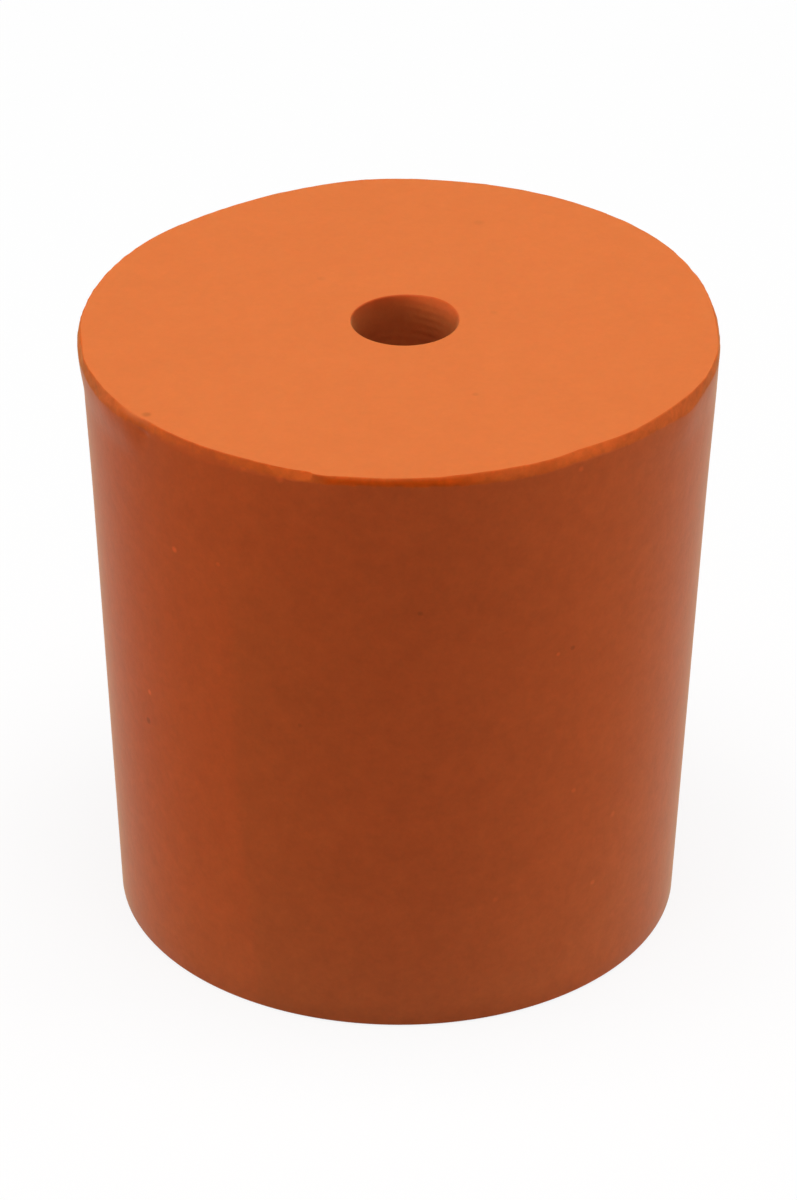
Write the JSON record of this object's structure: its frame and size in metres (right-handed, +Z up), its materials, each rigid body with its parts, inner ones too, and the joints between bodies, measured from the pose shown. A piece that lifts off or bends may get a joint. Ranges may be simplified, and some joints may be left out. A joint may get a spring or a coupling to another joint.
{
  "type": "rubber stopper",
  "caption": "Tapered rubber stopper with a straight hole through it from end to end, standing on its small end.",
  "frame": {"origin": "centre of the small end face, which the stopper stands on", "axes": "+Z up the taper's axis towards the large end; the hole runs parallel to +Z, 0.2 mm off the axis towards midway between +X and +Y; -Y is the side where a sliver is torn off the rim"},
  "size_m": [0.0296, 0.0296, 0.0304],
  "materials": {
    "red_rubber": "matt, ground on the large end"
  },
  "bodies": {
    "root": {"stopper": "red_rubber"}
  },
  "joints": []
}
